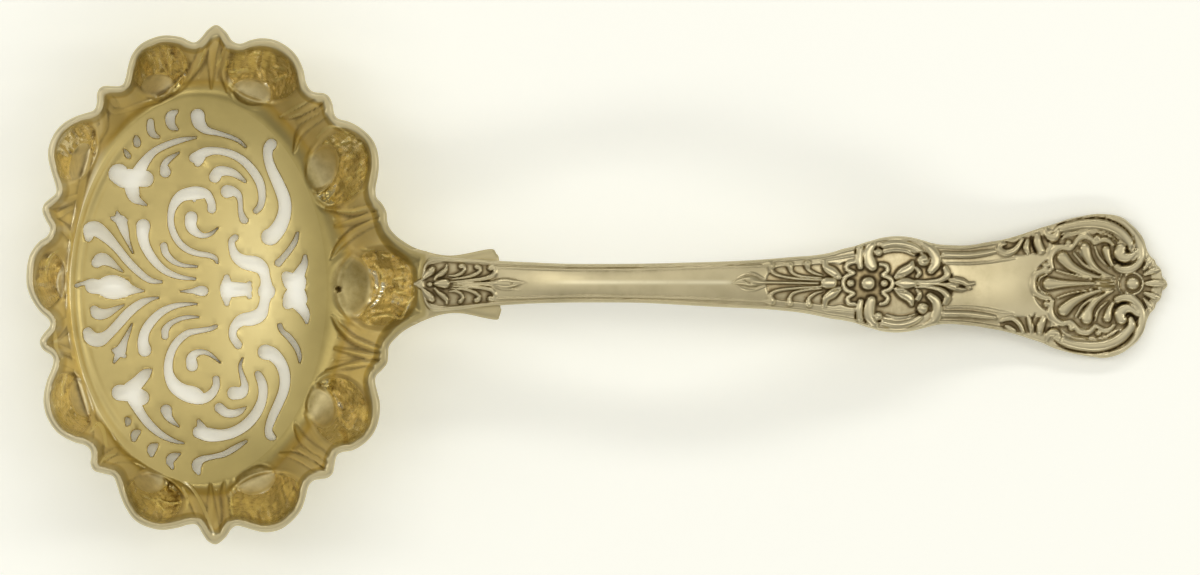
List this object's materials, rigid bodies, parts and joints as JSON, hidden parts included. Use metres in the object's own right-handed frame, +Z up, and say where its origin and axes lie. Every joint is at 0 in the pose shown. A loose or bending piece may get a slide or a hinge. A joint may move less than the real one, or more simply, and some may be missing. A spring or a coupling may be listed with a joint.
{
  "type": "sugar sifter spoon",
  "caption": "Sifter spoon with a pierced, fluted oval bowl across its end and an arched, scroll and shell ornamented handle lapped onto a flared tang.",
  "frame": {"origin": "on the table, under the middle of the whole spoon's box", "axes": "+X along the spoon towards the handle end, +Y across the bowl towards the picture's upper side, +Z up from the table"},
  "size_m": [0.1654, 0.075, 0.0198],
  "materials": {
    "gilt_silver": "worn gilding over silver, darkened in the recesses",
    "silver": "hand-polished antique silver, warm toned, darkened in the recesses",
    "solder": "thin dull film of silver solder"
  },
  "bodies": {
    "root": {"bowl": "gilt_silver", "handle": "silver", "solder_joint": "solder"}
  },
  "joints": []
}
